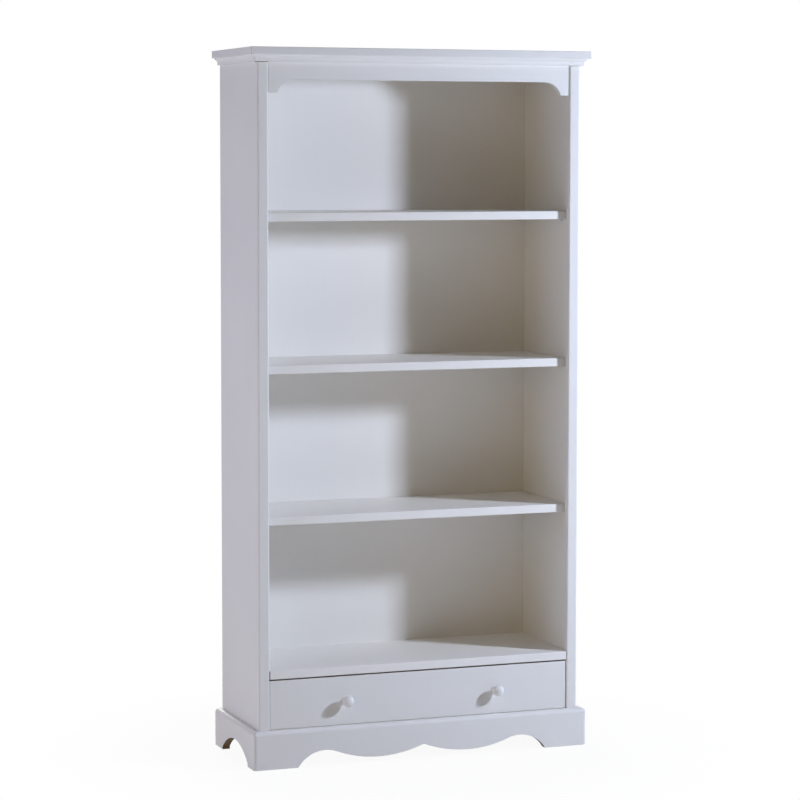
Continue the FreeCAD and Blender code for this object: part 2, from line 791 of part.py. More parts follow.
for hand, sign in SIDES:
    knob = doc.addObject("PartDesign::Body", hand + "_knob_body")
    sketch = new_sketch(knob, "XY_Plane")
    draw_loop(sketch, knob_section)
    turning = knob.newObject("PartDesign::Revolution", hand + "_knob_turning")
    turning.Profile = sketch
    turning.ReferenceAxis = (sketch, ["V_Axis"])
    across = sign * size.knob_spacing / 2
    place(knob, across, drawer_face, knob_height)
    blank(hand + "_knob", knob)
    seat = (across, front_rear, knob_height)
    length = size.drawer_front_thickness + size.knob_screw_depth
    shank = rod(hand + "_knob_shank", "Y", seat, length, size.knob_screw_diameter, -1)
    head = rod(hand + "_knob_screw_head", "Y", seat, size.knob_screw_head_height,
               size.knob_screw_head_diameter)
    bore = rod(hand + "_knob_bore", "Y", seat, length + size.bore_play,
               size.knob_screw_diameter + 2 * size.bore_play, -1)
    knob_screws.append(fuse(hand + "_knob_screw", shank, head))
    drill(bore, "drawer_front", hand + "_knob")
blank("knob_screws", compound("knob_screw_set", knob_screws))

# Roller rails. A cabinet rail is a channel on a packer beside the stile, with a roller at its front end.
# A drawer rail wraps the lower edge of a drawer side; its flange rides on the front roller, and the roller
# at its rear end runs in the channel.
rail_front = front_rear + size.rail_gap
rail_rear = back_face - size.rail_rear_room
channel_foot = base_top + size.rail_lift
channel_floor = channel_foot + size.steel
flange_underside = channel_floor + size.roller_diameter + 2 * size.roller_play
flange_top = flange_underside + size.steel
channel_roof = flange_top + size.flange_room
channel_head = channel_roof + size.steel
rear_roller_diameter = channel_roof - channel_floor - 2 * size.roller_play
channel_wall = opening_half - size.steel
channel_edge = opening_half - size.channel_width
drawer_wall = box_half + size.steel
flange_edge = opening_half - size.flange_margin
front_axle = (rail_front + size.roller_inset, channel_floor + size.roller_play + size.roller_diameter / 2)
rear_axle = (rail_rear - size.roller_inset, (channel_floor + channel_roof) / 2)
roller_inner = drawer_wall + size.axle_head + 2 * size.roller_play
roller_outer = channel_wall - size.screw_head_height - size.axle_head - 2 * size.roller_play
axle_bore = size.axle_diameter + 2 * size.bore_play


def roller(name, sign, axle, diameter):
    """A nylon wheel with a bore that runs on its axle."""
    start = (span(sign, roller_inner, roller_outer)[0], *axle)
    width = roller_outer - roller_inner
    wheel = rod(name + "_wheel", "X", start, width, diameter)
    return cut(name + "_roller", wheel, [rod(name + "_eye", "X", start, width, axle_bore)])


def axle_pin(name, sign, axle, root, shoulder, head_side):
    """A riveted axle from its rail's wall to its head beyond the roller."""
    length = shoulder - root if head_side > 0 else root - shoulder
    pin = rod(name + "_pin", "X", (sign * root, *axle), length, size.axle_diameter, sign * head_side)
    head = rod(name + "_pin_head", "X", (sign * shoulder, *axle), size.axle_head, size.axle_head_diameter,
               sign * head_side)
    return fuse(name + "_axle", pin, head)


front_axles = []
rear_axles = []
rail_screws = []
lip_screws = []
for hand, sign in SIDES:
    packer = hand + "_rail_packer"
    blank(packer, box(packer + "_strip", span(sign, opening_half, inner_half), (stile_rear, rail_rear),
                      (base_top, base_top + size.packer_height)))

    # The channel
    node = "cabinet_%s_rail" % hand
    channel = prism(node, "XZ_Plane", [
        (sign * opening_half, channel_foot),
        (sign * opening_half, channel_head),
        (sign * channel_edge, channel_head),
        (sign * channel_edge, channel_roof),
        (sign * channel_wall, channel_roof),
        (sign * channel_wall, channel_floor),
        (sign * channel_edge, channel_floor),
        (sign * channel_edge, channel_foot),
    ], rail_rear - rail_front, backwards=True)
    place(channel, 0, rail_front, 0)
    blank(node, channel)
    drill(rod(node + "_axle_bore", "X", (sign * opening_half, *front_axle), size.steel, axle_bore, -sign),
          node)
    for step, depth in enumerate(spread(front_axle[0] + size.screw_inset, rail_rear - size.screw_inset,
                                        RAIL_SCREW_COUNT)):
        seat = (sign * channel_wall, depth, (channel_floor + channel_roof) / 2)
        piece, bore = screw("%s_screw_%d" % (node, step), "X", seat, size.rail_screw_length, sign)
        rail_screws.append(piece)
        drill(bore, node, packer, hand + "_side")

    # The drawer rail, without its flange where the rear roller is
    node = "drawer_%s_rail" % hand
    angle = prism(node, "XZ_Plane", [
        (sign * (box_half - size.rail_lip), box_foot - size.steel),
        (sign * drawer_wall, box_foot - size.steel),
        (sign * drawer_wall, flange_underside),
        (sign * flange_edge, flange_underside),
        (sign * flange_edge, flange_top),
        (sign * box_half, flange_top),
        (sign * box_half, box_foot),
        (sign * (box_half - size.rail_lip), box_foot),
    ], rail_rear - rail_front, backwards=True)
    place(angle, 0, rail_front, 0)
    blank(node, angle)
    flange_end = rear_axle[0] - rear_roller_diameter / 2 - size.flange_cutback
    drill(box(node + "_flange_end", span(sign, drawer_wall, flange_edge), (flange_end, rail_rear),
              (flange_underside, flange_top)), node)
    drill(rod(node + "_axle_bore", "X", (sign * box_half, *rear_axle), size.steel, axle_bore, sign), node)
    for step, depth in enumerate(spread(rail_front + size.screw_inset, rail_rear - size.screw_inset,
                                        RAIL_SCREW_COUNT)):
        seat = (sign * (box_half - size.drawer_side_thickness / 2), depth, box_foot - size.steel)
        piece, bore = screw("%s_screw_%d" % (node, step), "Z", seat, size.lip_screw_length, 1)
        lip_screws.append(piece)
        drill(bore, node, "drawer_%s_side" % hand)

    # Rollers and axles
    blank("front_%s_roller" % hand, roller("front_" + hand, sign, front_axle, size.roller_diameter))
    blank("rear_%s_roller" % hand, roller("rear_" + hand, sign, rear_axle, rear_roller_diameter))
    front_axles.append(axle_pin("front_" + hand, sign, front_axle, opening_half,
                                roller_inner - size.roller_play, -1))
    rear_axles.append(axle_pin("rear_" + hand, sign, rear_axle, box_half, roller_outer + size.roller_play, 1))
blank("front_axles", compound("front_axle_set", front_axles))
blank("rear_axles", compound("rear_axle_set", rear_axles))
blank("cabinet_rail_screws", compound("rail_screw_set", rail_screws))
blank("drawer_rail_screws", compound("lip_screw_set", lip_screws))

# Each piece is its blank less its bores, under the name of its node
pieces = []
for node, piece in blanks.items():
    if bores[node]:
        piece = cut(node + "_drilled", piece, bores[node])
    piece.Label = node
    pieces.append(piece)
doc.recompute()

for item in doc.Objects:
    if "Invalid" in item.State or "Error" in item.State:
        raise RuntimeError("%s failed: %s" % (item.Name, item.State))
for before, after in trimmed:
    if after.Shape.Volume >= before.Shape.Volume:
        raise RuntimeError("%s cuts nothing" % after.Name)
for piece in pieces:
    if piece.Shape.isNull() or not piece.Shape.isValid():
        raise RuntimeError("%s has no valid shape" % piece.Label)

os.makedirs("parts", exist_ok=True)
for piece in pieces:
    piece.Shape.exportStep("parts/%s.step" % piece.Label)
whole = Part.makeCompound([piece.Shape for piece in pieces]).optimalBoundingBox()
print("%d pieces, %.1f x %.1f x %.1f mm" % (len(pieces), whole.XLength, whole.YLength, whole.ZLength))
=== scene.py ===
import math

import bmesh
import bpy
from mathutils import Matrix, Vector


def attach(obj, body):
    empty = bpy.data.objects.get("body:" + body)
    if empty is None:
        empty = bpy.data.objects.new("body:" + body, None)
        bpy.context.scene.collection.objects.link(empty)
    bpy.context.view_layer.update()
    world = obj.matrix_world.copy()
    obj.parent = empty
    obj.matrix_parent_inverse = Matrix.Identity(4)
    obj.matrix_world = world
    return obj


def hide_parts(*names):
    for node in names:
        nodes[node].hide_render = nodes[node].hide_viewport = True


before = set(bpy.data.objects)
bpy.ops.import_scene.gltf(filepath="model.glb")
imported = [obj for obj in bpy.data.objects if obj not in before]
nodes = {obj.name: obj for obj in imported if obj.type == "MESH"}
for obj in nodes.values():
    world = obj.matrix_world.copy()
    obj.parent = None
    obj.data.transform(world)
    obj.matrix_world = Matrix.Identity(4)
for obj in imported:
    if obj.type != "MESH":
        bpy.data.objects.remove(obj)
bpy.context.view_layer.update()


# Corner blocks and back rail of the base: rough-sawn softwood that hardly shows once the case stands.
# The blocks are glued into the front corners under the stiles, and the rail between the sides at the rear.
def start_material(name, **sockets):
    """A new material and its shader, with the values that are the same all over the surface."""
    material = bpy.data.materials.new(name)
    material.use_nodes = True
    shader = material.node_tree.nodes["Principled BSDF"]
    for socket, value in sockets.items():
        shader.inputs[socket.replace("_", " ")].default_value = value
    return material, shader


def connect(material, output, socket):
    material.node_tree.links.new(output, socket)


def add(material, kind, sockets=None, **settings):
    """A node in a material or the world; each socket takes a plain value or another node's output."""
    node = material.node_tree.nodes.new("ShaderNode" + kind)
    for setting, value in settings.items():
        setattr(node, setting, value)
    for socket, value in (sockets or {}).items():
        if isinstance(value, bpy.types.NodeSocket):
            connect(material, value, node.inputs[socket])
        else:
            node.inputs[socket].default_value = value
    return node


def stretched_noise(material, along, lengthwise, crosswise, detail):
    """Noise drawn out along one axis of the piece, in features per metre."""
    place = add(material, "TexCoord").outputs["Object"]
    scale = [lengthwise if axis == along else crosswise for axis in "XYZ"]
    drawn = add(material, "Mapping", {"Vector": place, "Scale": scale}).outputs["Vector"]
    return add(material, "TexNoise", {"Vector": drawn, "Scale": 1.0, "Detail": detail}).outputs["Fac"]


def even_noise(material, per_metre, detail=2.0):
    place = add(material, "TexCoord").outputs["Object"]
    return add(material, "TexNoise", {"Vector": place, "Scale": per_metre, "Detail": detail}).outputs["Fac"]


def between(material, value, span, result):
    """A value carried from one span over to another, and held at its ends."""
    return add(material, "MapRange", {"Value": value, "From Min": span[0], "From Max": span[1],
                                      "To Min": result[0], "To Max": result[1]}).outputs["Result"]


def ramp(material, factor, *stops):
    """Colours along a factor, as pairs of a place and a colour."""
    node = add(material, "ValToRGB", {"Fac": factor})
    while len(node.color_ramp.elements) < len(stops):
        node.color_ramp.elements.new(1.0)
    for element, (place, colour) in zip(node.color_ramp.elements, stops):
        element.position = place
        element.color = (*colour, 1.0)
    return node.outputs["Color"]


def mix(material, factor, first, second):
    """Two colours mixed by a factor; a plain colour is given as three numbers."""
    first, second = [(*colour, 1.0) if isinstance(colour, tuple) else colour for colour in (first, second)]
    return add(material, "Mix", {0: factor, 6: first, 7: second}, data_type="RGBA").outputs[2]


def raise_surface(material, shader, height, millimetres, strength=1.0, edge_radius=0.0008):
    """Bump from a height, over edges that are rounded by the sander."""
    rounded = add(material, "Bevel", {"Radius": edge_radius}, samples=6).outputs["Normal"]
    bump = add(material, "Bump", {"Height": height, "Distance": millimetres / 1000, "Strength": strength,
                                  "Normal": rounded})
    connect(material, bump.outputs["Normal"], shader.inputs["Normal"])


def finish(piece, material):
    piece.data.materials.clear()
    piece.data.materials.append(material)


GROWTH_RINGS = 46.0         # how far the wave of the rings runs across the noise, in radians


def softwood(name, along, light, dark, saw_marks):
    """Sawn or planed softwood, with its growth rings and pores running along one axis."""
    material, shader = start_material(name, Roughness=0.62)
    bands = stretched_noise(material, along, lengthwise=1.6, crosswise=34.0, detail=3.0)
    pores = stretched_noise(material, along, lengthwise=14.0, crosswise=900.0, detail=4.0)
    knots = even_noise(material, per_metre=7.0, detail=1.0)
    rings = add(material, "Math", {0: bands, 1: GROWTH_RINGS}, operation="MULTIPLY").outputs[0]
    waves = add(material, "Math", {0: rings}, operation="SINE").outputs[0]
    growth = between(material, waves, (-1.0, 1.0), (0.0, 1.0))
    board = ramp(material, growth, (0.0, light), (0.7, light), (1.0, dark))
    shaded = mix(material, between(material, knots, (0.62, 0.78), (0.0, 0.45)), board, dark)
    pored = mix(material, between(material, pores, (0.5, 0.75), (0.0, 0.35)), shaded, dark)
    connect(material, pored, shader.inputs["Base Color"])
    raise_surface(material, shader, pores, millimetres=saw_marks)
    return material


SAWN_LIGHT = (0.40, 0.27, 0.16)
SAWN_DARK = (0.22, 0.13, 0.07)
finish(nodes["base_corner_blocks"], softwood("sawn_block_wood", "Z", SAWN_LIGHT, SAWN_DARK, saw_marks=0.25))
finish(nodes["base_back_rail"], softwood("sawn_rail_wood", "X", SAWN_LIGHT, SAWN_DARK, saw_marks=0.25))


# Apron and skirts of the base: boards shaped on a spindle, mitred at the front corners and painted outside.
# Their inner faces and the sawn edges of their arches are left as bare board.
PAINT = (0.83, 0.81, 0.77)
THIN_PAINT = 0.97           # of the tint, where the film is thin
STREAK_HEIGHT = 0.6         # of the height of the film's peel
PAINT_EDGE = 0.05           # how far a face has to turn to the painted side to get paint
BARE_BOARD = (0.36, 0.26, 0.17)
BARE_FLECK = (0.25, 0.17, 0.10)


def satin_paint(name, along, painted_side=None, tint=PAINT):
    """Rolled satin paint with faint streaks along the board, all over it or only on one side and on top."""
    material, shader = start_material(name, Specular_IOR_Level=0.2)
    clouds = even_noise(material, per_metre=2.4, detail=3.0)
    streaks = stretched_noise(material, along, lengthwise=5.0, crosswise=210.0, detail=4.0)
    peel = even_noise(material, per_metre=620.0)
    shade = tuple(THIN_PAINT * part for part in tint)
    coat = mix(material, between(material, clouds, (0.3, 0.7), (0.0, 1.0)), tint, shade)
    coat = mix(material, between(material, streaks, (0.35, 0.75), (0.0, 0.35)), coat, shade)
    film = add(material, "Math", {0: streaks, 1: STREAK_HEIGHT, 2: peel}, operation="MULTIPLY_ADD").outputs[0]
    raise_surface(material, shader, film, millimetres=0.05, strength=0.5, edge_radius=0.0015)
    if painted_side is None:
        gloss = between(material, clouds, (0.3, 0.7), (0.38, 0.47))
    else:
        facing = add(material, "TexCoord").outputs["Normal"]
        outward = add(material, "VectorMath", {0: facing, 1: painted_side}, operation="DOT_PRODUCT")
        upward = add(material, "SeparateXYZ", {0: facing}).outputs["Z"]
        reached = add(material, "Math", {0: outward.outputs["Value"], 1: upward}, operation="MAXIMUM")
        bare = add(material, "Math", {0: reached.outputs[0], 1: PAINT_EDGE}, operation="LESS_THAN").outputs[0]
        fibres = even_noise(material, per_metre=480.0, detail=5.0)
        board = ramp(material, fibres, (0.35, BARE_FLECK), (0.6, BARE_BOARD))
        coat = mix(material, bare, coat, board)
        gloss = between(material, bare, (0.0, 1.0), (0.42, 0.8))
    connect(material, coat, shader.inputs["Base Color"])
    connect(material, gloss, shader.inputs["Roughness"])
    return material


finish(nodes["base_apron"], satin_paint("apron_paint", "X", (0, -1, 0)))
finish(nodes["base_left_skirt"], satin_paint("left_skirt_paint", "Y", (-1, 0, 0)))
finish(nodes["base_right_skirt"], satin_paint("right_skirt_paint", "Y", (1, 0, 0)))


# The case: sides, stiles, top panel, fixed deck and bottom panel, glued up with dowels and painted as one.
# The deck is a paler white, and its underside and that of the bottom panel are out of sight and bare.
PALE_PAINT = (0.885, 0.855, 0.80)
upright_paint = satin_paint("upright_paint", "Z")
for node in ("left_side", "right_side", "left_stile", "right_stile"):
    finish(nodes[node], upright_paint)
level_paint = satin_paint("level_paint", "X")
finish(nodes["top_panel"], level_paint)
finish(nodes["deck"], satin_paint("deck_paint", "X", (0, -1, 0), PALE_PAINT))
finish(nodes["bottom_panel"], satin_paint("bottom_panel_paint", "X", (0, 0, 1)))


# Carcase dowels: beech pegs with pressed flutes and chamfered ends, glued into the boards' ends.
# Each is made where the solid of the frame is, as a rod whose every other side is pressed in.
SAME_PLACE = 0.00001        # corners nearer than this are one


def solids_of(node):
    """The separate solids in a node of the frame, each as its corners."""
    copy = bmesh.new()
    copy.from_mesh(nodes[node].data)
    bmesh.ops.remove_doubles(copy, verts=copy.verts, dist=SAME_PLACE)
    seen = set()
    solids = []
    for first in copy.verts:
        if first in seen:
            continue
        seen.add(first)
        reached = [first]
        for corner in reached:
            neighbours = [edge.other_vert(corner) for edge in corner.link_edges]
            fresh = [other for other in neighbours if other not in seen]
            seen.update(fresh)
            reached += fresh
        solids.append([corner.co.copy() for corner in reached])
    copy.free()
    return solids


def box_of(corners):
    """The lowest and the highest corner of the box round a solid."""
    low = Vector([min(corner[way] for corner in corners) for way in range(3)])
    high = Vector([max(corner[way] for corner in corners) for way in range(3)])
    return low, high


HEAD_STEP = 0.0001          # a rod whose ends differ more than this has a head


def measure_rod(corners, axis=None):
    """A round solid's thick end, the way to its thin end, its length, its head's height and its two radii."""
    low, high = box_of(corners)
    if axis is None:
        axis = max(range(3), key=lambda way: high[way] - low[way])
    ends = []
    for level in (low[axis], high[axis]):
        end = (low + high) / 2
        end[axis] = level
        radii = [(corner - end).length for corner in corners if abs(corner[axis] - level) < SAME_PLACE]
        ends.append((max(radii), end))
    (thin, tip), (thick, head) = sorted(ends, key=lambda end: end[0])
    way_in = (tip - head).normalized()
    head_height = 0.0
    if thick - thin > HEAD_STEP:
        rim = [corner for corner in corners if (corner - head).cross(way_in).length > (thick + thin) / 2]
        head_height = max((corner - head).dot(way_in) for corner in rim)
    return head, way_in, (tip - head).length, head_height, thick, thin


def start_rod(radius, length, sides=32):
    """A rod that stands on the floor of its own small space."""
    shape = bmesh.new()
    bmesh.ops.create_cone(shape, cap_ends=True, segments=sides, radius1=radius, radius2=radius, depth=length)
    bmesh.ops.translate(shape, vec=(0, 0, length / 2), verts=shape.verts)
    return shape


def end_face(shape, upper):
    choose = max if upper else min
    return choose(shape.faces, key=lambda face: face.calc_center_median().z)


def round_rim(shape, upper, width, segments=3):
    bmesh.ops.bevel(shape, geom=list(end_face(shape, upper).edges), offset=width, offset_type="OFFSET",
                    segments=segments, profile=0.5, affect="EDGES", material=-1)


def set_in(shape, place, direction):
    """Turns a shape from its own upright to a direction, and puts its foot at a place."""
    turn = Vector((0, 0, 1)).rotation_difference(direction).to_matrix().to_4x4()
    bmesh.ops.transform(shape, matrix=Matrix.Translation(place) @ turn, verts=shape.verts)
    return shape


SHARP_EDGE = math.radians(35)


def make_piece(name, shapes):
    """One object from its shapes, smooth except along its sharp edges."""
    mesh = bpy.data.meshes.new(name)
    whole = bmesh.new()
    for shape in shapes:
        shape.to_mesh(mesh)
        whole.from_mesh(mesh)
        shape.free()
    whole.to_mesh(mesh)
    whole.free()
    mesh.shade_smooth()
    mesh.set_sharp_from_angle(angle=SHARP_EDGE)
    piece = bpy.data.objects.new(name, mesh)
    bpy.context.collection.objects.link(piece)
    return piece


def remake(node, shape_of, name, material, body):
    """A finer piece in place of a node of the frame, shaped solid by solid."""
    piece = make_piece(name, [shape_of(solid) for solid in solids_of(node)])
    finish(piece, material)
    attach(piece, body)
    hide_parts(node)


PEG_SIDES = 24
PEG_CHAMFER = 0.001
FLUTE_DEPTH = 0.0003
FLUTE_RIB = 0.0001
UPRIGHT = 0.1               # an upright face's normal rises less than this


def fluted_peg(corners):
    foot, way, length, _, radius, _ = measure_rod(corners)
    peg = start_rod(radius, length, PEG_SIDES)
    for upper in (True, False):
        round_rim(peg, upper, PEG_CHAMFER, segments=1)
    sides = [face for face in peg.faces if abs(face.normal.z) < UPRIGHT]
    bmesh.ops.inset_individual(peg, faces=sides[::2], thickness=FLUTE_RIB, depth=-FLUTE_DEPTH)
    return set_in(peg, foot, way)


BEECH_LIGHT = (0.62, 0.46, 0.30)
BEECH_DARK = (0.48, 0.33, 0.20)
beech = softwood("beech_peg_wood", "X", BEECH_LIGHT, BEECH_DARK, saw_marks=0.1)
remake("carcase_dowels", fluted_peg, "carcase_pegs", beech, body="carcase")


# Base screws: zinc-plated pan-head screws with a cross recess, driven from inside the case into the skirts.
# The head is a rod with a rounded rim, the recess is pressed into it, and the shank is drawn out of its foot.
HEAD_ROUNDING = 0.7         # of the head's height
RECESS_ARM = 0.14           # half the width of an arm of the cross, of the head's radius
RECESS_REACH = 0.58         # of the head's radius
RECESS_DEPTH = 0.75         # of the head's height
RECESS_TAPER = 0.0001
POINT_LENGTH = 2.5          # of the shank's radius
POINT_BLUNT = 0.15          # of the shank's radius
ROUNDING_ERROR = 0.000001
CUT_ERROR = 0.0000001


def press_cross(screw, height, radius):
    """Cuts the flat top of a screw's head along the arms of a cross, and presses the cross in."""
    arm = RECESS_ARM * radius
    reach = RECESS_REACH * radius
    top = end_face(screw, upper=True)
    top_radius = max(corner.co.xy.length for corner in top.verts)
    bmesh.ops.inset_region(screw, faces=[top], thickness=top_radius - reach)

    def disc():
        return [face for face in screw.faces
                if all(corner.co.z > height - ROUNDING_ERROR and corner.co.xy.length < reach + ROUNDING_ERROR
                       for corner in face.verts)]

    for across in (Vector((1, 0, 0)), Vector((0, 1, 0))):
        for side in (-arm, arm):
            faces = disc()
            edges = {edge for face in faces for edge in face.edges}
            corners = {corner for face in faces for corner in face.verts}
            bmesh.ops.bisect_plane(screw, geom=[*faces, *edges, *corners], dist=CUT_ERROR,
                                   plane_co=side * across, plane_no=across)
    cross = [face for face in disc() if min(abs(part) for part in face.calc_center_median().xy) < arm]
    bmesh.ops.inset_region(screw, faces=cross, thickness=RECESS_TAPER, depth=-RECESS_DEPTH * height)


def cross_head_screw(corners):
    head_top, way_in, length, head_height, head_radius, shank_radius = measure_rod(corners)
    screw = start_rod(head_radius, head_height)
    round_rim(screw, True, HEAD_ROUNDING * head_height, segments=5)
    press_cross(screw, head_height, head_radius)
    foot = end_face(screw, upper=False)
    point = POINT_LENGTH * shank_radius
    bmesh.ops.inset_region(screw, faces=[foot], thickness=head_radius - shank_radius)
    bmesh.ops.inset_region(screw, faces=[foot], thickness=0.0, depth=length - head_height - point)
    bmesh.ops.inset_region(screw, faces=[foot], thickness=(1 - POINT_BLUNT) * shank_radius, depth=point)
    bmesh.ops.translate(screw, vec=(0, 0, -head_height), verts=screw.verts)
    return set_in(screw, head_top, -way_in)


ZINC_DARK = (0.60, 0.61, 0.64)
ZINC_LIGHT = (0.72, 0.73, 0.75)
SPANGLES_PER_METRE = 900.0


def zinc_plate(name):
    """Bright zinc on steel, with its faint spangle and a bluish cast."""
    material, shader = start_material(name, Metallic=1.0)
    place = add(material, "TexCoord").outputs["Object"]
    cells = add(material, "TexVoronoi", {"Vector": place, "Scale": SPANGLES_PER_METRE})
    spangle = cells.outputs["Distance"]
    tone = ramp(material, spangle, (0.0, ZINC_DARK), (0.7, ZINC_LIGHT))
    gloss = between(material, spangle, (0.0, 0.7), (0.28, 0.42))
    connect(material, tone, shader.inputs["Base Color"])
    connect(material, gloss, shader.inputs["Roughness"])
    raise_surface(material, shader, spangle, millimetres=0.01, strength=0.4, edge_radius=0.0003)
    return material


zinc = zinc_plate("zinc_plate")
remake("base_screws", cross_head_screw, "skirt_screws", zinc, body="carcase")


# Back panel: one thin sheet of hardboard, painted pale on the face that shows and bare behind.
# It lies in rebates of the sides, and the row of screws round it holds it.
finish(nodes["back_panel"], satin_paint("back_sheet_paint", "Z", (0, -1, 0), PALE_PAINT))
remake("back_screws", cross_head_screw, "back_sheet_screws", zinc, body="carcase")


# Crown and valance: a flat cornice board over a moulding run on a spindle, mitred at the front corners.
# The valance with its cut brackets hangs under them between the stiles, and all are glued and painted.
for node in ("cornice_board", "crown_front", "valance"):
    finish(nodes[node], level_paint)
depth_paint = satin_paint("depth_paint", "Y")
for node in ("crown_left", "crown_right"):
    finish(nodes[node], depth_paint)


# Shelf pins: turned steel pins with rounded ends, zinc plated, pushed into holes in the sides.
# Four of them carry each loose shelf.
PIN_ROUNDING = 0.0007


def turned_pin(corners):
    foot, way, length, _, radius, _ = measure_rod(corners)
    pin = start_rod(radius, length)
    for upper in (True, False):
        round_rim(pin, upper, PIN_ROUNDING)
    return set_in(pin, foot, way)


remake("shelf_pins", turned_pin, "shelf_support_pins", zinc, body="carcase")


# Loose shelves: boards with a rounded front edge, painted all over in the paler white.
# They lie on their pins with a little room at the ends, and lift out.
shelf_paint = satin_paint("shelf_paint", "X", tint=PALE_PAINT)
for node in ("upper_shelf", "middle_shelf", "lower_shelf"):
    finish(nodes[node], shelf_paint)


# Rail packers: strips of planed softwood behind the stiles.
# Glued to the sides, they bring the rails out to the edge of the drawer opening.
PACKER_LIGHT = (0.58, 0.43, 0.27)
PACKER_DARK = (0.45, 0.30, 0.17)
for node in ("left_rail_packer", "right_rail_packer"):
    finish(nodes[node], softwood(node + "_wood", "Y", PACKER_LIGHT, PACKER_DARK, saw_marks=0.15))


# Roller rails: folded steel with a baked cream coat, one pair on the case and one under the drawer's sides.
# Each is fixed by three screws, through its wall into the packer or up into the drawer side.
CREAM_DARK = (0.74, 0.73, 0.69)
CREAM_LIGHT = (0.79, 0.78, 0.74)


def baked_coat(name):
    material, shader = start_material(name, Roughness=0.38)
    peel = even_noise(material, per_metre=380.0, detail=3.0)
    clouds = even_noise(material, per_metre=20.0, detail=3.0)
    tone = ramp(material, clouds, (0.3, CREAM_DARK), (0.7, CREAM_LIGHT))
    connect(material, tone, shader.inputs["Base Color"])
    raise_surface(material, shader, peel, millimetres=0.04, strength=0.6, edge_radius=0.0004)
    return material


cream_coat = baked_coat("baked_cream_coat")
for node in ("cabinet_left_rail", "cabinet_right_rail", "drawer_left_rail", "drawer_right_rail"):
    finish(nodes[node], cream_coat)
remake("cabinet_rail_screws", cross_head_screw, "case_rail_screws", zinc, body="carcase")
remake("drawer_rail_screws", cross_head_screw, "drawer_lip_screws", zinc, body="drawer")


# Axles: steel rivets through the rails, at the front of the case and at the rear of the drawer.
# Each has a low domed head that keeps its roller on.
AXLE_CHAMFER = 0.0004


def riveted_axle(corners):
    head_top, way_in, length, head_height, head_radius, shaft_radius = measure_rod(corners, axis=0)
    axle = start_rod(head_radius, head_height)
    round_rim(axle, True, HEAD_ROUNDING * head_height, segments=4)
    foot = end_face(axle, upper=False)
    bmesh.ops.inset_region(axle, faces=[foot], thickness=head_radius - shaft_radius)
    bmesh.ops.inset_region(axle, faces=[foot], thickness=0.0, depth=length - head_height)
    round_rim(axle, False, AXLE_CHAMFER, segments=1)
    bmesh.ops.translate(axle, vec=(0, 0, -head_height), verts=axle.verts)
    return set_in(axle, head_top, -way_in)


remake("front_axles", riveted_axle, "case_axles", zinc, body="carcase")
remake("rear_axles", riveted_axle, "drawer_axles", zinc, body="drawer")


# Rollers: white nylon wheels with rounded shoulders, a dished web and a raised hub, free on their axles.
# A disc is set in on both of its faces, and its hub is opened through.
WHEEL_SIDES = 64
SHOULDER = 0.0006
TREAD_WIDTH = 0.26          # of the wheel's radius, from the tread to the dish
DISH_SLOPE = 0.0003
DISH_DEPTH = 0.0009
HUB_WALL = 0.0013


def nylon_wheel(corners):
    low, high = box_of(corners)
    middle = (low + high) / 2
    radius = (high.z - low.z) / 2
    bore = min((corner - middle).yz.length for corner in corners)
    tread = radius * TREAD_WIDTH
    web = radius - tread - 2 * DISH_SLOPE - HUB_WALL - bore - SHOULDER
    wheel = start_rod(radius, high.x - low.x, WHEEL_SIDES)
    eyes = []
    for upper in (True, False):
        round_rim(wheel, upper, SHOULDER)
        eye = end_face(wheel, upper)
        for width, rise in ((tread, 0.0), (DISH_SLOPE, -DISH_DEPTH), (web, 0.0),
                            (DISH_SLOPE, DISH_DEPTH), (HUB_WALL, 0.0)):
            bmesh.ops.inset_region(wheel, faces=[eye], thickness=width, depth=rise)
        eyes.append(eye)
    rims = [edge for eye in eyes for edge in eye.edges]
    bmesh.ops.delete(wheel, geom=eyes, context="FACES_ONLY")
    bmesh.ops.bridge_loops(wheel, edges=rims)
    bmesh.ops.recalc_face_normals(wheel, faces=wheel.faces)
    return set_in(wheel, Vector((low.x, middle.y, middle.z)), Vector((1, 0, 0)))


NYLON_DARK = (0.80, 0.80, 0.77)
NYLON_LIGHT = (0.86, 0.86, 0.84)


def nylon(name):
    material, shader = start_material(name, Roughness=0.45)
    clouds = even_noise(material, per_metre=300.0)
    tone = ramp(material, clouds, (0.3, NYLON_DARK), (0.7, NYLON_LIGHT))
    connect(material, tone, shader.inputs["Base Color"])
    raise_surface(material, shader, clouds, millimetres=0.02, strength=0.5, edge_radius=0.0006)
    return material


white_nylon = nylon("white_nylon")
for corner in ("front_left", "front_right", "rear_left", "rear_right"):
    remake(corner + "_roller", nylon_wheel, corner + "_nylon_wheel", white_nylon,
           body=corner + "_wheel")


# Drawer: a painted front on a box of planed softwood, with a thin bottom in grooves.
# Fluted pegs join the sides to the front, and screws join them to the back.
PLANED_LIGHT = (0.66, 0.50, 0.32)
PLANED_DARK = (0.52, 0.36, 0.20)
finish(nodes["drawer_front"], level_paint)
for node, along in (("drawer_left_side", "Y"), ("drawer_right_side", "Y"),
                    ("drawer_back", "X"), ("drawer_bottom", "X")):
    finish(nodes[node], softwood(node + "_wood", along, PLANED_LIGHT, PLANED_DARK, saw_marks=0.1))
peg_beech = softwood("drawer_peg_wood", "Y", BEECH_LIGHT, BEECH_DARK, saw_marks=0.1)
remake("drawer_dowels", fluted_peg, "drawer_pegs", peg_beech, body="drawer")
remake("drawer_screws", cross_head_screw, "drawer_box_screws", zinc, body="drawer")


# Knobs: turned wood, painted like the rest.
# Each is held by a screw from inside the drawer, with its head against the back of the drawer front.
knob_paint = satin_paint("knob_paint", "Y")
for node in ("left_knob", "right_knob"):
    finish(nodes[node], knob_paint)
remake("knob_screws", cross_head_screw, "knob_fixing_screws", zinc, body="drawer")


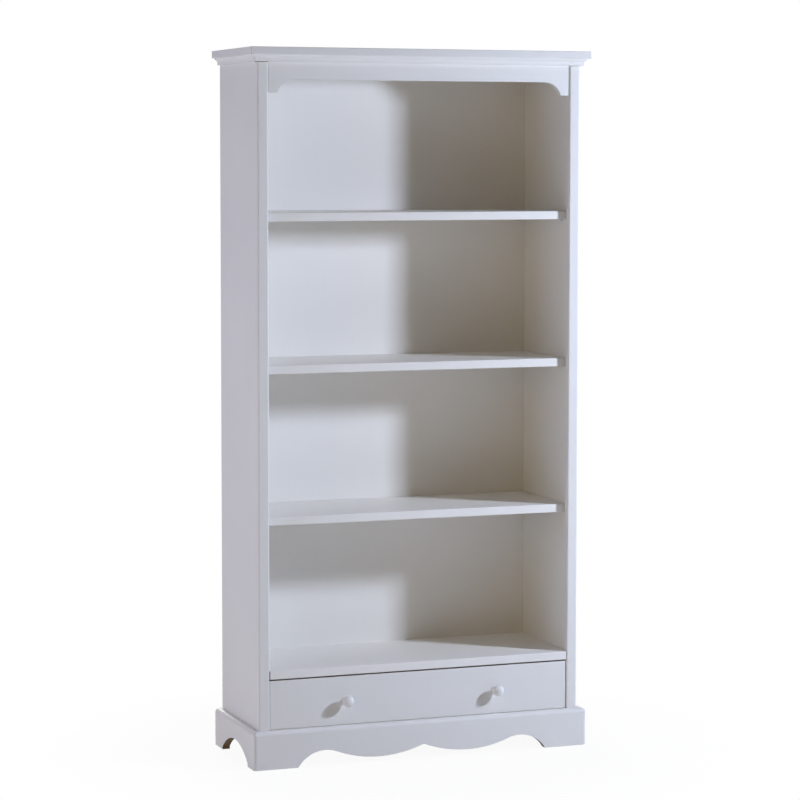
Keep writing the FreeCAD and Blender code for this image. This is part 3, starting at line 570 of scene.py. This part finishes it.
# Floor: a wide pale sheet of paper that the case stands on.
# The camera and reflections see it almost as plain white, and it keeps a soft shadow by the feet.
def straight_rays(material):
    """1 where the camera, a reflection or a clear piece shows the background, and 0 for light on the case."""
    rays = add(material, "LightPath").outputs
    shown = add(material, "Math", {0: rays["Is Camera Ray"], 1: rays["Is Glossy Ray"]}, operation="MAXIMUM")
    return add(material, "Math", {0: shown.outputs[0], 1: rays["Is Transmission Ray"]},
               operation="MAXIMUM").outputs[0]


FLOOR_SIZE = 30.0
FLOOR_TINT = (0.85, 0.835, 0.80, 1.0)
SHADOW_FADE = (0.5, 1.0)    # metres from the middle of the floor
SHADOW_WHITE = 0.94         # how white the floor is shown where it keeps the shadow
bpy.ops.mesh.primitive_plane_add(size=FLOOR_SIZE)
floor = bpy.context.object
floor.name = "floor"
floor_paper, floor_shader = start_material("floor_paper", Roughness=0.9, Base_Color=FLOOR_TINT)
white = add(floor_paper, "Emission", {"Strength": 1.0})
place = add(floor_paper, "TexCoord").outputs["Object"]
distance = add(floor_paper, "VectorMath", {0: place}, operation="LENGTH").outputs["Value"]
whiteness = between(floor_paper, distance, SHADOW_FADE, (SHADOW_WHITE, 1.0))
share = add(floor_paper, "Math", {0: straight_rays(floor_paper), 1: whiteness}, operation="MULTIPLY")
sheet = add(floor_paper, "MixShader",
            {0: share.outputs[0], 1: floor_shader.outputs[0], 2: white.outputs[0]})
connect(floor_paper, sheet.outputs[0], floor_paper.node_tree.nodes["Material Output"].inputs["Surface"])
finish(floor, floor_paper)


# World: a low warm fill from all round.
# The camera and reflections see it as a plain white wall.
FILL_TINT = (1.0, 0.88, 0.74, 1.0)
FILL_STRENGTH = 0.02
world = bpy.data.worlds.new("studio")
bpy.context.scene.world = world
world.use_nodes = True
fill = world.node_tree.nodes["Background"]
fill.inputs["Color"].default_value = FILL_TINT
fill.inputs["Strength"].default_value = FILL_STRENGTH
wall = add(world, "Background", {"Color": (1.0, 1.0, 1.0, 1.0), "Strength": 1.0})
seen_or_lit = add(world, "MixShader", {0: straight_rays(world), 1: fill.outputs[0], 2: wall.outputs[0]})
connect(world, seen_or_lit.outputs[0], world.node_tree.nodes["World Output"].inputs["Surface"])


# Lamps: a cool softbox in front on the right, turned across the case so that its edge lights it evenly,
# a wide cool one on the left for the side, a wide warm one that fills the shadows, and two small neutral ones
# behind for the back and the top, which do not reach the sides and the front.
def softbox(name, place, target, width, watts, colour):
    data = bpy.data.lights.new(name, "AREA")
    data.shape = "SQUARE"
    data.size = width
    data.energy = watts
    data.color = colour
    lamp = bpy.data.objects.new(name, data)
    lamp.location = place
    lamp.rotation_euler = (Vector(target) - Vector(place)).to_track_quat("-Z", "Y").to_euler()
    bpy.context.collection.objects.link(lamp)


NEUTRAL = (1.0, 0.98, 0.95)
softbox("key_softbox", place=(2.11, -1.61, 1.70), target=(-0.7, -1.5, 0.6),
        width=0.3, watts=90.0, colour=(0.69, 0.78, 1.0))
softbox("side_softbox", place=(-3.0, -0.3, 1.35), target=(0, 0.1, 1.0),
        width=1.2, watts=32.0, colour=(0.62, 0.685, 1.0))
softbox("warm_softbox", place=(-3.3, -2.3, 1.4), target=(0, 0, 0.95),
        width=2.0, watts=13.6, colour=(1.0, 0.67, 0.1))
softbox("rear_softbox", place=(0, 3.4, 1.8), target=(0, 0.2, 0.9), width=0.8, watts=42.0, colour=NEUTRAL)
softbox("top_softbox", place=(0, 1.2, 3.7), target=(0, 0, 1.8), width=0.8, watts=24.0, colour=NEUTRAL)


# Camera: at the photograph's angle, in front on the left, a little above the middle shelf.
# Its lens is long, and shifted a little so that upright edges stay nearly upright.
CAMERA_PLACE = (-2.5288, -6.7350, 1.5673)
CAMERA_TURN = math.radians(20.537)
CAMERA_TILT = math.radians(4.460)
CAMERA_ROLL = math.radians(0.058)
CAMERA_LENS = 122.65
CAMERA_SHIFT = -0.0375
camera_data = bpy.data.cameras.new("camera")
camera_data.lens = CAMERA_LENS
camera_data.shift_y = CAMERA_SHIFT
camera = bpy.data.objects.new("camera", camera_data)
camera.matrix_world = (Matrix.Translation(CAMERA_PLACE) @ Matrix.Rotation(-CAMERA_TURN, 4, "Z")
                       @ Matrix.Rotation(math.pi / 2 - CAMERA_TILT, 4, "X")
                       @ Matrix.Rotation(CAMERA_ROLL, 4, "Z"))
bpy.context.collection.objects.link(camera)
bpy.context.scene.camera = camera
bpy.context.scene.view_settings.view_transform = "Standard"
